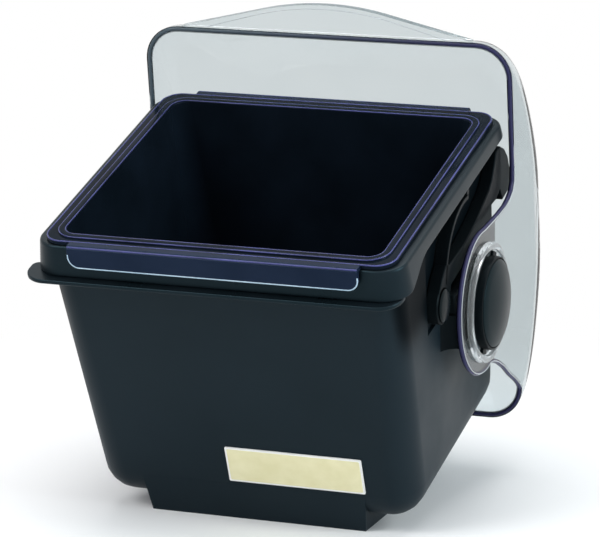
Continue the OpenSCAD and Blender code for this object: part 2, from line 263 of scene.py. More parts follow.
def prism(name, flat, axis, low, high):
    """Extrudes a flat outline along axis 0, 1 or 2; its points hold the other two values in order."""
    count = len(flat)
    points = []
    for level in (low, high):
        for pair in flat:
            values = list(pair)
            values.insert(axis, level)
            points.append(values)
    faces = [tuple(range(count)), tuple(reversed(range(count, 2 * count)))]
    faces += [(k, (k + 1) % count, count + (k + 1) % count, count + k) for k in range(count)]
    return mesh_from(name, points, faces)


def box(name, low, high):
    (x0, y0, z0), (x1, y1, z1) = low, high
    return prism(name, [(y0, z0), (y1, z0), (y1, z1), (y0, z1)], 0, x0, x1)


def lathe(name, profile, y, z, steps=96, wrap=False):
    """Turns (x, radius) points round the X line through (y, z); wrap makes a ring."""
    turns = [math.tau * k / steps for k in range(steps)]
    rings = [[Vector((x, y + radius * math.cos(t), z + radius * math.sin(t))) for t in turns]
             for x, radius in profile]
    return loft(name, rings, wrap)


def arc_points(u, v, r, start, end, count):
    """Points on a flat arc round (u, v), with angles in degrees from the first axis to the second."""
    turns = [math.radians(start + (end - start) * k / count) for k in range(count + 1)]
    return [(u + r * math.cos(t), v + r * math.sin(t)) for t in turns]


def domed(x0, x1, r, steps, inset=0.0):
    """Inner (x, radius) points of a round face that rises from x0 at radius r to x1 at its middle."""
    radii = [(r - inset) * (1 - k / steps) for k in range(1, steps)]
    return [(x0 + (x1 - x0) * (1 - (radius / r) ** 2), radius) for radius in radii]


def tube(name, path, radius, closed=True):
    """Round bead along a path, as a mesh."""
    curve = bpy.data.curves.new(name, "CURVE")
    curve.dimensions = "3D"
    curve.bevel_depth = radius
    curve.bevel_resolution = 3
    spline = curve.splines.new("POLY")
    spline.points.add(len(path) - 1)
    for point, spot in zip(spline.points, path):
        point.co = (*spot, 1)
    spline.use_cyclic_u = closed
    curve.use_fill_caps = not closed
    obj = new_object(name, curve)
    mesh = bpy.data.meshes.new_from_object(obj.evaluated_get(bpy.context.evaluated_depsgraph_get()))
    bpy.data.objects.remove(obj)
    return new_object(name, mesh)


def apply_modifiers(obj):
    """Gives a piece the mesh that its modifiers make."""
    graph = bpy.context.evaluated_depsgraph_get()
    mesh = bpy.data.meshes.new_from_object(obj.evaluated_get(graph))
    obj.modifiers.clear()
    obj.data = mesh
    return obj


def rounded(obj, width):
    """Rounds the edges of a piece."""
    bevel = obj.modifiers.new("rounding", "BEVEL")
    bevel.width = width
    bevel.segments = ROUND_STEPS
    bevel.limit_method = "ANGLE"
    bevel.angle_limit = math.radians(ROUND_ANGLE)
    return apply_modifiers(obj)


def combine(obj, other, operation="UNION"):
    """Adds the other piece to the first, cuts it away or keeps what they share."""
    modifier = obj.modifiers.new("combine", "BOOLEAN")
    modifier.operation = operation
    modifier.solver = "EXACT"
    modifier.object = other
    apply_modifiers(obj)
    bpy.data.objects.remove(other)
    return obj


def joined(name, parts):
    """Puts closed parts into one object."""
    whole = bmesh.new()
    for part in parts:
        whole.from_mesh(part.data)
        bpy.data.objects.remove(part)
    mesh = bpy.data.meshes.new(name)
    whole.to_mesh(mesh)
    whole.free()
    return new_object(name, mesh)


def flipped(obj, mirror=MIRROR_X):
    """Turns a piece into its mirror image."""
    obj.data.transform(mirror)
    obj.data.flip_normals()
    return obj


def flipped_copy(name, obj, mirror=MIRROR_X):
    """Mirror image of a piece that stays as it is."""
    return flipped(new_object(name, obj.data.copy()), mirror)


def on_side(obj, side):
    """Names a right-hand piece for its side, and mirrors it for the left one."""
    obj.name = f"{obj.name}_{side}"
    return flipped(obj) if side == "left" else obj


def on_both_sides(name, parts):
    """Joins right-hand parts and their mirror images into one piece."""
    right = joined("right", parts)
    return joined(name, [right, flipped_copy("left", right)])


def place(obj, matrix, body, material):
    """Moves a piece into the part's frame, smooths it and ties it to its body."""
    obj.data.transform(matrix)
    obj.data.materials.clear()
    obj.data.materials.append(material)
    obj.data.polygons.foreach_set("use_smooth", [True] * len(obj.data.polygons))
    obj.data.set_sharp_from_angle(angle=math.radians(SHARP_ANGLE))
    normals = obj.modifiers.new("normals", "WEIGHTED_NORMAL")
    normals.keep_sharp = True
    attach(obj, body)
    return obj


# Node helpers

def math_node(tree, kind, operation, *values):
    """Node that works on other nodes' outputs and on constant values."""
    node = tree.nodes.new(kind)
    node.operation = operation
    for socket, value in zip(node.inputs, values):
        if isinstance(value, bpy.types.NodeSocket):
            tree.links.new(value, socket)
        else:
            socket.default_value = value
    return node


def span(tree, value, low, high, to_low=0.0, to_high=1.0, smooth=True):
    """Takes a value from the span low to high to another span, as a node output."""
    node = tree.nodes.new("ShaderNodeMapRange")
    node.interpolation_type = "SMOOTHSTEP" if smooth else "LINEAR"
    for key, number in zip(("From Min", "From Max", "To Min", "To Max"), (low, high, to_low, to_high)):
        node.inputs[key].default_value = number
    tree.links.new(value, node.inputs["Value"])
    return node.outputs["Result"]


def ramp_between(tree, share, first, second, start=0.0, end=1.0):
    """Colour that runs from the first to the second, as a node output."""
    ramp = tree.nodes.new("ShaderNodeValToRGB")
    stops = ramp.color_ramp.elements
    for stop, position, colour in zip(stops, (start, end), (first, second)):
        stop.position = position
        stop.color = (*colour, 1)
    tree.links.new(share, ramp.inputs["Fac"])
    return ramp.outputs["Color"]


def object_spot(tree):
    """Place on the object, in metres, as a node output."""
    return tree.nodes.new("ShaderNodeTexCoord").outputs["Object"]


def object_x(tree, spot):
    """Sideways part of a place."""
    split = tree.nodes.new("ShaderNodeSeparateXYZ")
    tree.links.new(spot, split.inputs[0])
    return split.outputs["X"]


def noise_at(tree, spot, scale, detail):
    """Value of a noise at a place, as a node output."""
    noise = tree.nodes.new("ShaderNodeTexNoise")
    noise.inputs["Scale"].default_value = scale
    noise.inputs["Detail"].default_value = detail
    tree.links.new(spot, noise.inputs["Vector"])
    return noise.outputs["Fac"]


def mixed(tree, share, first, second):
    """Mix of two shader outputs."""
    mix = tree.nodes.new("ShaderNodeMixShader")
    for socket, output in zip(mix.inputs, (share, first, second)):
        tree.links.new(output, socket)
    return mix.outputs[0]


# Materials: a noise varies the colour and the roughness a little, and a finer one gives the grain

NOISE_LOW = 0.3
NOISE_HIGH = 0.7
NOISE_DETAIL = 4
GRAIN_DETAIL = 2
GRAIN_DEPTH = 0.2 * MM
COOL_TINT = (0.62, 0.88, 1.0, 1.0)
TEAL_TINT = (0.45, 0.82, 1.0, 1.0)
INDIGO_TINT = (0.38, 0.56, 0.88, 1.0)
BLUE_TINT = (0.5, 0.7, 1.0, 1.0)


def principled(name, colour, roughness, **sockets):
    """Plain material; the other sockets are given by name, with _ for a space."""
    material = bpy.data.materials.new(name)
    material.use_nodes = True
    shader = material.node_tree.nodes["Principled BSDF"]
    shader.inputs["Base Color"].default_value = (*colour, 1)
    shader.inputs["Roughness"].default_value = roughness
    for key, value in sockets.items():
        shader.inputs[key.replace("_", " ")].default_value = value
    return material


def textured(material, scale, roughness, colours=None, grain=None):
    """Spreads roughness, and colours if given, over a noise; grain is a bump's (strength, scale)."""
    tree = material.node_tree
    shader = tree.nodes["Principled BSDF"]
    spot = object_spot(tree)
    noise = noise_at(tree, spot, scale, NOISE_DETAIL)
    rough = span(tree, noise, NOISE_LOW, NOISE_HIGH, *roughness, smooth=False)
    tree.links.new(rough, shader.inputs["Roughness"])
    if colours:
        colour = ramp_between(tree, noise, *colours, NOISE_LOW, NOISE_HIGH)
        tree.links.new(colour, shader.inputs["Base Color"])
    if grain:
        bump = tree.nodes.new("ShaderNodeBump")
        bump.inputs["Strength"].default_value = grain[0]
        bump.inputs["Distance"].default_value = GRAIN_DEPTH
        tree.links.new(noise_at(tree, spot, grain[1], GRAIN_DETAIL), bump.inputs["Height"])
        tree.links.new(bump.outputs["Normal"], shader.inputs["Normal"])
    return material


black_satin = textured(
    principled("black_satin", (0.007, 0.011, 0.014), 0.42, Specular_IOR_Level=0.15,
               Specular_Tint=COOL_TINT),
    30, (0.36, 0.50), ((0.005, 0.010, 0.014), (0.007, 0.013, 0.018)), (0.05, 3400))
rim_black = textured(
    principled("rim_black", (0.004, 0.008, 0.010), 0.32, Specular_IOR_Level=0.2,
               Specular_Tint=TEAL_TINT),
    45, (0.26, 0.40), ((0.003, 0.006, 0.008), (0.006, 0.009, 0.012)), (0.03, 2600))
# Near-black with little gloss, darker than the tub's black: painted shade on the pivot towers, the knob
# bodies and the levers
painted_shade_black = textured(
    principled("painted_shade_black", (0.003, 0.004, 0.005), 0.36, Specular_IOR_Level=0.05,
               Specular_Tint=COOL_TINT),
    40, (0.30, 0.44), ((0.002, 0.003, 0.004), (0.004, 0.006, 0.007)), (0.04, 2600))
black_gloss = textured(
    principled("black_gloss", (0.003, 0.005, 0.006), 0.18, Specular_IOR_Level=0.05,
               Specular_Tint=COOL_TINT),
    45, (0.12, 0.24), ((0.003, 0.005, 0.006), (0.005, 0.008, 0.009)), (0.03, 1800))
black_knob = textured(
    principled("black_knob", (0.006, 0.011, 0.013), 0.3, Specular_IOR_Level=0.06,
               Specular_Tint=TEAL_TINT),
    45, (0.24, 0.36), ((0.005, 0.010, 0.012), (0.008, 0.013, 0.015)), (0.04, 1800))
smoke_clear = textured(
    principled("smoke_clear", (0.007, 0.010, 0.018), 0.1, IOR=1.3, Transmission_Weight=0.1,
               Specular_IOR_Level=0.06, Specular_Tint=INDIGO_TINT),
    40, (0.06, 0.14), ((0.004, 0.007, 0.011), (0.007, 0.012, 0.020)))
smoke_blue = textured(
    principled("smoke_blue", (0.008, 0.016, 0.036), 0.2, IOR=1.3, Transmission_Weight=0.1,
               Specular_IOR_Level=0.2, Specular_Tint=BLUE_TINT),
    40, (0.14, 0.24), ((0.007, 0.014, 0.032), (0.011, 0.020, 0.044)))
# Bright line colours for the tray's edges: painted highlights
violet_painted_highlight = textured(
    principled("violet_painted_highlight", (0.04, 0.045, 0.16), 0.2, Specular_IOR_Level=0.25),
    60, (0.14, 0.28), ((0.02, 0.024, 0.09), (0.07, 0.08, 0.26)))
pale_painted_highlight = textured(
    principled("pale_painted_highlight", (0.36, 0.50, 0.62), 0.2, Specular_IOR_Level=0.5),
    60, (0.14, 0.28), ((0.30, 0.44, 0.56), (0.44, 0.58, 0.70)))
indigo_edge = textured(
    principled("indigo_edge", (0.04, 0.045, 0.11), 0.2, Specular_IOR_Level=0.15),
    12, (0.14, 0.26))
# Pale line colour for the lid's rounded edges: painted highlights
white_painted_highlight = textured(
    principled("white_painted_highlight", (0.76, 0.80, 0.83), 0.15, IOR=1.3, Transmission_Weight=0.5),
    60, (0.1, 0.2), ((0.72, 0.77, 0.80), (0.80, 0.83, 0.86)))
clear_lid = textured(
    principled("clear_lid", (0.63, 0.685, 0.70), 0.02, IOR=1.25, Transmission_Weight=1.0),
    25, (0.0, 0.006), ((0.615, 0.672, 0.688), (0.645, 0.698, 0.712)))
# Lighter, slightly rough copy of the lid's clear plastic for the collars: painted light in the thick
# rings
clear_ring_painted_light = textured(
    principled("clear_ring_painted_light", (0.76, 0.81, 0.83), 0.03, IOR=1.35, Transmission_Weight=0.9),
    40, (0.02, 0.05), ((0.74, 0.79, 0.81), (0.79, 0.83, 0.85)))
label_cream = textured(
    principled("label_cream", (0.80, 0.75, 0.46), 0.5),
    180, (0.42, 0.55), ((0.76, 0.71, 0.42), (0.83, 0.78, 0.50)), (0.05, 3000))
label_white = textured(
    principled("label_white", (0.86, 0.86, 0.84), 0.45),
    200, (0.4, 0.5), ((0.83, 0.83, 0.81), (0.88, 0.88, 0.86)))


def paint_shade_round_levers(material):
    """Paints shade on the side walls between the rim and the levers' pins: darkens their colour there and
    takes off their gloss.
    """
    dark_below, plain_below = 24 * MM, 46 * MM
    front_x, side_x = 57.5 * MM, 62.5 * MM
    gloss, dark_gloss, dark_share = 0.15, 0.02, 0.25
    tree = material.node_tree
    shader = tree.nodes["Principled BSDF"]
    spot = object_spot(tree)
    up = SET_DOWN.to_3x3() @ Vector((0, 0, 1 / MM))
    rim_level = SET_DOWN.translation.dot(up)
    level = math_node(tree, "ShaderNodeVectorMath", "DOT_PRODUCT", spot, up).outputs["Value"]
    out = math_node(tree, "ShaderNodeMath", "ABSOLUTE", object_x(tree, spot)).outputs[0]
    high = span(tree, level, rim_level - plain_below, rim_level - dark_below)
    beside = span(tree, out, front_x, side_x)
    share = math_node(tree, "ShaderNodeMath", "MULTIPLY", high, beside).outputs[0]
    tree.links.new(span(tree, share, 0, 1, gloss, dark_gloss), shader.inputs["Specular IOR Level"])
    colour = shader.inputs["Base Color"].links[0].from_socket
    dim = math_node(tree, "ShaderNodeVectorMath", "SCALE", colour)
    tree.links.new(span(tree, share, 0, 1, 1, dark_share), dim.inputs["Scale"])
    tree.links.new(dim.outputs["Vector"], shader.inputs["Base Color"])


def paint_shade_across(material, left, right):
    """Painted light and shade: colour that runs from the object's left side to its right side."""
    left_x, right_x = -65 * MM, 68 * MM
    tree = material.node_tree
    share = span(tree, object_x(tree, object_spot(tree)), left_x, right_x)
    colour = ramp_between(tree, share, left, right)
    tree.links.new(colour, tree.nodes["Principled BSDF"].inputs["Base Color"])


# Painted shade on the tub's side walls under the rim, round the levers
paint_shade_round_levers(black_satin)
# Painted light and shade along the lid's dark edge line, paler at the left and darker at the right
paint_shade_across(indigo_edge, (0.065, 0.088, 0.105), (0.028, 0.028, 0.078))


# Base: tub shell, rim, ledge and the pivot towers

def tub_sections(half_top, inset, low_r):
    """Rings of the tub from its top down to its flat bottom; inset gives the inner form."""
    top_z = -0.8
    steps = 12
    start_z = FLOOR_Z + inset + low_r
    rings = []
    for k in range(steps + 1):
        deep = k / steps
        z = top_z + (start_z - top_z) * deep
        r = (RIM_R - inset) * (1 - deep) + low_r * deep
        rings.append(ring(half_top + DRAFT * z, wall_y(z) + inset, BACK_Y + BACK_DRAFT * z - inset, r, z))
    half = half_top + DRAFT * start_z
    y0 = wall_y(start_z) + inset
    y1 = BACK_Y + BACK_DRAFT * start_z - inset
    for turn in (15, 30, 45, 60, 75, 88):
        k = low_r * (1 - math.cos(math.radians(turn)))
        z = start_z - low_r * math.sin(math.radians(turn))
        rings.append(ring(half - k, y0 + k, y1 - k, low_r - k, z))
    return rings


def make_tub_shell():
    """Walls and floor, with a pocket at each side for the lever's hub and its arm."""
    far_x, far_y = 80, RIM_D + 10
    outer = tub_sections(WALL_X, 0, BOTTOM_R)
    inner = tub_sections(CAVITY_X, WALL_T, BOTTOM_R - 1)
    shell = loft("tub_shell", list(reversed(outer)) + inner)
    pockets = (((POCKET_X, POCKET_Y0, POCKET_LOW_Z), (far_x, PIN_Y + HUB_R + POCKET_ROOM, -BAND_H)),
               ((POCKET_X, POCKET_Y0 + HUB_R, TOWER_TOP_Z), (far_x, far_y, -BAND_H)))
    for side in ("left", "right"):
        for low, high in pockets:
            combine(shell, on_side(box("pocket", low, high), side), "DIFFERENCE")
    return shell


def skirt_low(y):
    """Lower edge of the rim: deep across the front, dying away along the sides."""
    start = 5
    end = POCKET_Y0 - 4
    t = min(1, max(0, (y - start) / (end - start)))
    ease = t * t * (3 - 2 * t)
    return -SKIRT_H + (SKIRT_H - BAND_H) * ease


def make_rim():
    """Rim all round, as one closed profile that follows the skirt's lower edge."""
    rings = []
    for p, out in outline(RIM_X, 0, RIM_D, RIM_R, arc=12, side=24):
        low = skirt_low(p.y)
        flare = FLARE + (SKIRT_FLARE - FLARE) * (-low - BAND_H) / (SKIRT_H - BAND_H)
        inner = [(-6.6, -2.2), (-6.6, -0.4), (-6.2, 0)]
        top = [(-1.0, 0), (-0.55, -0.12), (-0.2, -0.45), (0, -1.0)]
        lower = [(flare, low + 0.7), (flare - 0.1, low + 0.25), (flare - 0.5, low), (-4.2, low),
                 (-4.4, low + 0.8)]
        rings.append([Vector((p.x + out.x * o, p.y + out.y * o, z)) for o, z in inner + top + lower])
    return loft("rim", rings, wrap=True)


def make_ledge():
    """Thin ledge with a round wing past the left corner and a curl round the right one."""
    r, tip_r = 8.0, 2.5
    wing_x = -RIM_X - LEDGE_OUT - 1
    curl_x = RIM_X - 1
    bend_y = -SKIRT_OUT - LEDGE_OUT + r
    inner_y = bend_y + 2
    points = arc_points(wing_x + r, bend_y, r, 180, 270, 12)
    points += arc_points(curl_x - r, bend_y, r, 270, 360, 12)
    points += [(curl_x, inner_y), (curl_x - r, inner_y), (wing_x + r, inner_y)]
    points += arc_points(wing_x + tip_r, inner_y, tip_r, 40, 180, 8)
    return rounded(prism("ledge", points, 2, -SKIRT_H - LEDGE_T, -SKIRT_H), 0.45)


def make_tower():
    """Right pivot tower: its block, the blend into the wall in front of it, and the boss."""
    root_x = POCKET_X - 1.2
    low_z = -PIVOT_DROP - 5
    front = PIN_Y + HUB_R + 1.2
    back = PIVOT_Y + 1.5 * BOSS_R
    sweep = 7.0
    post_r = BOSS_R + 4
    block = rounded(box("block", (root_x, front, low_z), (TOWER_X, back, TOWER_TOP_Z)), 0.6)
    fillet = [(root_x, front + 1), (root_x, front - sweep)]
    fillet += arc_points(TOWER_X, front - sweep, sweep - 0.5, 180, 90, 12)
    fillet += [(TOWER_X, front + 1)]
    blend = prism("blend", fillet, 2, low_z, POCKET_LOW_Z)
    profile = [(root_x, post_r), (TOWER_X - 0.4, post_r), (TOWER_X, post_r - 0.4), (TOWER_X, BOSS_R),
               (BOSS_X, BOSS_R)]
    return [block, blend, lathe("post", profile, PIVOT_Y, -PIVOT_DROP, 72)]


def make_base():
    shell = make_tub_shell()
    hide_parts("base_tub")
    place(shell, SET_DOWN, "base", black_satin)
    towers = on_both_sides("pivot_towers", make_tower())
    # The towers sit in painted shade under the rim
    place(towers, SET_DOWN, "base", painted_shade_black)
    rim = joined("rim_and_ledge", [make_rim(), make_ledge()])
    place(rim, SET_DOWN, "base", rim_black)


# Tray: one skin from the basin floor over the bead and flange, and two grip lips

BASIN_R = 8.0
BEAD_OUT = 1.2
BEAD_TOP_Z = TRAY_T + 0.8


def basin_rings(inset, mouth_z):
    """Rings of the basin from its mouth down to its floor; inset gives the inner skin."""
    taper_x, taper_y = 4, 5
    steps = 8
    mouth_r = RIM_R - WALL_T - inset * 0.5
    start_z = -TRAY_H + inset + BASIN_R
    half = BASIN_X - inset
    y0 = BASIN_Y0 + inset
    y1 = BASIN_Y1 - inset
    rings = []
    for k in range(steps + 1):
        deep = k / steps
        z = mouth_z * (1 - deep) + start_z * deep
        r = mouth_r * (1 - deep) + BASIN_R * deep
        rings.append(ring(half - taper_x * deep, y0 + taper_y * deep, y1 - taper_y * deep, r, z))
    for turn in (18, 36, 54, 72, 88):
        k = BASIN_R * (1 - math.cos(math.radians(turn)))
        z = start_z - BASIN_R * math.sin(math.radians(turn))
        rings.append(ring(half - taper_x - k, y0 + taper_y + k, y1 - taper_y - k, BASIN_R - k, z))
    return rings


def mouth_ring(out, z):
    """Ring round the basin's mouth, a little further out or in."""
    return ring(BASIN_X + out, BASIN_Y0 - out, BASIN_Y1 + out, RIM_R - WALL_T + out, z)


def flange_ring(out, z):
    """Ring round the flange's edge."""
    return ring(TRAY_W / 2 + out, TRAY_Y0 - out, RIM_D - TRAY_Y0 + out, RIM_R - 2 + out, z)


def make_tray_body():
    """Inner skin, bead, flange and outer skin, lofted in one go."""
    top = BEAD_TOP_Z
    inner_edge = ((-TRAY_T + 0.1, top - 0.5), (-TRAY_T + 0.5, top - 0.1), (-0.8, top))
    outer_edge = ((BEAD_OUT - 0.6, top), (BEAD_OUT - 0.1, top - 0.25), (BEAD_OUT, top - 0.6),
                  (BEAD_OUT + 0.1, TRAY_T))
    flange_edge = ((-0.7, TRAY_T), (-0.2, TRAY_T - 0.2), (0, TRAY_T - 0.6), (0, 0.25), (-0.3, 0.05))
    rings = list(reversed(basin_rings(TRAY_T, TRAY_T)))
    rings += [mouth_ring(out, z) for out, z in inner_edge + outer_edge]
    rings += [flange_ring(out, z) for out, z in flange_edge]
    rings += [mouth_ring(0.3, 0.05)] + basin_rings(0, -0.2)
    return loft("tray_body", rings)


def lip_path(half, low_z, corner, top_z):
    """Down one end of a lip, along its bottom and up the other end, in X and Z."""
    path = [(-half, top_z)]
    path += arc_points(-half + corner, low_z + corner, corner, 180, 270, 8)
    path += arc_points(half - corner, low_z + corner, corner, 270, 360, 8)
    path += [(half, top_z)]
    return path


def make_lips():
    """Front grip lip with its round lower corners, and the same lip at the back."""
    half = LIP_W / 2
    corner = 4.0
    root_y = TRAY_Y0 + 1
    profile = [(root_y, 0), (LIP_IN_Y, 0), (LIP_IN_Y, -LIP_DROP), (LIP_OUT_Y, -LIP_DROP),
               (LIP_OUT_Y, TRAY_T - 1), (LIP_OUT_Y + 1, TRAY_T), (root_y, TRAY_T)]
    lip = prism("front_lip", profile, 0, -half, half)
    mask = prism("mask", lip_path(half, -LIP_DROP, corner, TRAY_T + 1), 1, -9, 9)
    rounded(combine(lip, mask, "INTERSECT"), 0.35)
    to_back = Matrix.Translation((0, RIM_D, 0)) @ Matrix.Scale(-1, 4, (0, 1, 0))
    return joined("tray_lips", [lip, flipped_copy("rear_lip", lip, to_back)])


def make_tray_lines():
    """Painted highlights along the rounded edges of the smoky moulding: violet and pale blue lines."""
    violet = [tube("flange_line", flange_ring(-0.4, TRAY_T - 0.12), 0.28),
              tube("bead_line", mouth_ring(BEAD_OUT - 0.25, BEAD_TOP_Z - 0.3), 0.24),
              tube("mouth_line", mouth_ring(-TRAY_T + 0.3, BEAD_TOP_Z - 0.25), 0.22)]
    pale = []
    inset = 0.2
    corner = 3.8
    half = LIP_W / 2 - inset
    low_z = -LIP_DROP + inset
    middle = RIM_D / 2
    face_y = LIP_OUT_Y + 0.12
    for flip in (1, -1):
        y = middle + flip * (face_y - middle)
        rim_line = [Vector((x, y, z)) for x, z in lip_path(half, low_z, corner, low_z + corner + 1)]
        pale.append(tube("lip_line", rim_line, 0.26, closed=False))
        y = middle + flip * (face_y + 0.35 - middle)
        top_line = [Vector((x, y, TRAY_T - 0.45)) for x in (-half, 0, half)]
        violet.append(tube("lip_top_line", top_line, 0.3, closed=False))
    return joined("tray_violet_painted_highlights", violet), joined("tray_pale_painted_highlights", pale)


def make_tray():
    body = make_tray_body()
    lips = make_lips()
    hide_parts("insert_tray")
    place(body, SET_DOWN, "tray", smoke_clear)
    place(lips, SET_DOWN, "tray", smoke_blue)
    violet, pale = make_tray_lines()
    place(violet, SET_DOWN, "tray", violet_painted_highlight)
    place(pale, SET_DOWN, "tray", pale_painted_highlight)


# Lid: an arched dome between upright sides, ears, finger lip, collars, and an edge line of tint with
# painted shade and painted highlights

def dome_rings(inset):
    """Rings of the closed dome from its mouth up to its crown; inset gives the inner skin."""
    mid_y = (LID_Y0 + LID_Y1) / 2
    half_y = (LID_Y1 - LID_Y0) / 2
    upright = 0.66 * DOME_H
    crown_in, corner_growth = 12, 38
    steps, last_turn = 22, 86
    rings = []
    for k in range(steps + 1):
        part = math.sin(math.radians(last_turn * k / steps))
        high = part * DOME_H
        arch_y = half_y * math.sqrt(1 - part * part)
        over = max(0, high - upright) / (DOME_H - upright)
        half_x = LID_OUT_X - crown_in * (1 - math.sqrt(1 - over * over))
        corner = min(MOUTH_R + corner_growth * part * part, arch_y)
        rings.append(ring(half_x - inset, mid_y - arch_y + inset, mid_y + arch_y - inset,
                          max(corner - inset, 0.5), MOUTH_Z + high - inset * part, arc=12, side=12))
    return rings


def ear_outline():
    """Outline of the right ear, from where it leaves the mouth at the front round to the back."""
    top = MOUTH_Z + PIVOT_DROP
    front = -EAR_R - 0.5
    back = EAR_R - 2
    shift_y, shift_z = EAR_SHIFT
    web_front = [(front - 12, top), (front - 6.5, top - 0.6), (front - 3.4, top - 2.8),
                 (front - 1.6, top - 6.5), (front - 0.6, top - 11), (front - 0.1, top / 2), (front, 10)]
    web_back = [(back + 0.5, 3), (back + 1.6, 7.5), (back + 4, 12.5), (back + 8.2, top / 2),
                (back + 13.6, top / 2 + 6.5), (back + 18.6, top - 5.4), (back + 21.6, top - 1.8),
                (LID_Y1 - MOUTH_R - PIVOT_Y, top)]
    points = web_front + arc_points(shift_y, shift_z, EAR_R, 172, 364, 44) + web_back
    return [(PIVOT_Y + y, -PIVOT_DROP + z) for y, z in points]


def make_ear(side):
    """Ear and web of one side, bored for the tower's boss, with an overlap into the dome's wall."""
    overlap_z = MOUTH_Z + 1.2
    points = ear_outline()
    points += [(points[-1][0], overlap_z), (points[0][0], overlap_z)]
    ear = prism("ear", points, 0, LID_IN_X, LID_OUT_X)
    bore_r = BOSS_R + RUN_GAP
    bore = lathe("bore", [(LID_IN_X - 1, bore_r), (LID_OUT_X + 1, bore_r)], PIVOT_Y, -PIVOT_DROP, 72)
    return on_side(combine(ear, bore, "DIFFERENCE"), side)


def nose_points(inset, half):
    """Front edge of the finger lip, from left to right; inset moves it in towards the dome."""
    nose_half, nose_r = 25.0, 100.0
    side_y = -0.3
    turn = math.degrees(math.asin(nose_half / nose_r))
    flat = [(-half, side_y)]
    flat += arc_points(0, nose_r - NOSE_OUT + inset, nose_r, 270 - turn, 270 + turn, 24)
    flat += [(half, side_y)]
    return [Vector((x, LID_Y0 + y, MOUTH_Z)) for x, y in flat]


def make_finger_lip():
    """Rounded lip along the front of the mouth, for opening the lid."""
    half = NOSE_W / 2
    root_y = LID_Y0 - 0.05
    points = [(p.x, p.y) for p in nose_points(0, half)] + [(half, root_y), (-half, root_y)]
    return rounded(prism("finger_lip", points, 2, MOUTH_Z, MOUTH_Z + FLANGE_T), 0.7)


def make_lid():
    shell = loft("lid_shell", list(reversed(dome_rings(0))) + dome_rings(LID_T))
    for side in ("right", "left"):
        combine(shell, make_ear(side))
    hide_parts("dome_lid")
    place(shell, LID_FRAME, "lid", clear_lid)
    place(make_finger_lip(), LID_FRAME, "lid", clear_lid)


def make_collars():
    """Raised clear ring round each knob."""
    out = COLLAR_R + COLLAR_T
    low = LID_OUT_X + 0.02
    profile = [(low, COLLAR_R), (low, out), (COLLAR_X - 0.8, out), (COLLAR_X - 0.25, out - 0.2),
               (COLLAR_X, out - 0.8), (COLLAR_X, COLLAR_R + 0.7), (COLLAR_X - 0.2, COLLAR_R + 0.2),
               (COLLAR_X - 0.7, COLLAR_R)]
    collar = lathe("collar", profile, PIVOT_Y, -PIVOT_DROP, wrap=True)
    place(on_both_sides("ear_collars", [collar]), LID_FRAME, "lid", clear_ring_painted_light)


def edge_parts(shift):
    """Right half of the lid's free edge, as front corner, ear and back corner.

    The shift moves it out from the middle of the wall.
    """
    x = LID_OUT_X - LID_T / 2 + shift
    z = MOUTH_Z + 0.5
    inset = LID_T / 2 - shift
    r = MOUTH_R - inset
    y0 = LID_Y0 + inset + r
    y1 = LID_Y1 - inset - r
    front = [Vector((*spot, z)) for spot in arc_points(x - r, y0, r, 270, 360, 8)]
    ear = [Vector((x, *spot)) for spot in ear_outline()]
    back = [Vector((*spot, z)) for spot in arc_points(x - r, y1, r, 0, 90, 8)]
    return front, ear, back


def mirror_path(path):
    """Mirror image of a path."""
    return [Vector((-p.x, p.y, p.z)) for p in path]


def with_mirror(path):
    """Path that goes on along its own mirror image."""
    return path + mirror_path(reversed(path))


def make_lid_edge():
    """Line down the middle of the wall's edge, dark indigo from the plastic's tint and painted shade,
    with painted highlights on the rounded corners beside it.
    """
    to_face = LID_T / 2 - 0.05
    front, ear, back = edge_parts(0)
    dark = tube("lid_edge_dark", with_mirror(front + ear + back), 0.78)
    place(dark, LID_FRAME, "lid", indigo_edge)
    # Painted highlights along the edge's rounded corners and the finger lip's nose
    front, _, back = edge_parts(-to_face)
    _, ear, _ = edge_parts(to_face)
    paths = [with_mirror(list(reversed(front))), with_mirror(back), ear, mirror_path(ear)]
    bright = [tube("bright", path, 0.2, closed=False) for path in paths]
    bright.append(tube("nose_line", nose_points(1.4, 46), 0.16, closed=False))
    place(joined("lid_edge_painted_highlights", bright), LID_FRAME, "lid", white_painted_highlight)


# Knobs, levers and pins

def make_knob_body():
    """Dark body of a knob with its two lugs."""
    x, r = KNOB_RIM_X, KNOB_R
    profile = [(BOSS_X - 2, STEM_R), (BOSS_X, STEM_R), (BOSS_X, r - 0.8), (BOSS_X + 0.5, r), (x - 0.5, r),
               (x + 0.1, r - 0.2), (x + 0.3, r - 0.7), (x - 0.1, r - 1.0), (x - 0.1, LEAST_R)]
    parts = [lathe("body", profile, PIVOT_Y, -PIVOT_DROP)]
    for angle in (56, 236):
        lug = rounded(box("lug", (BOSS_X, r - 2, -2), (BOSS_X + 1.2, r + 1.6, 2)), 0.3)
        lug.data.transform(Matrix.Translation(PIVOT) @ Matrix.Rotation(math.radians(angle), 4, "X"))
        parts.append(lug)
    return joined("knob_body", parts)


def make_knob_face():
    """Lighter domed face, set into the body's front edge."""
    x, r = KNOB_RIM_X, KNOB_R - 1.1
    front = KNOB_RIM_X + KNOB_DOME_H
    profile = [(x - 0.6, r), (x + 0.35, r), (x + 0.65, r - 0.3)]
    profile += domed(x + 0.75, front, r, 14, inset=0.6)
    profile.append((front, LEAST_R))
    return lathe("knob_face", profile, PIVOT_Y, -PIVOT_DROP)


def make_knob(side):
    body = on_side(make_knob_body(), side)
    face = on_side(make_knob_face(), side)
    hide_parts("pivot_knob_" + side)
    # The knob's body is darkened by painted shade; its face keeps the knob's own black
    place(body, SET_DOWN, "base", painted_shade_black)
    place(face, SET_DOWN, "base", black_knob)


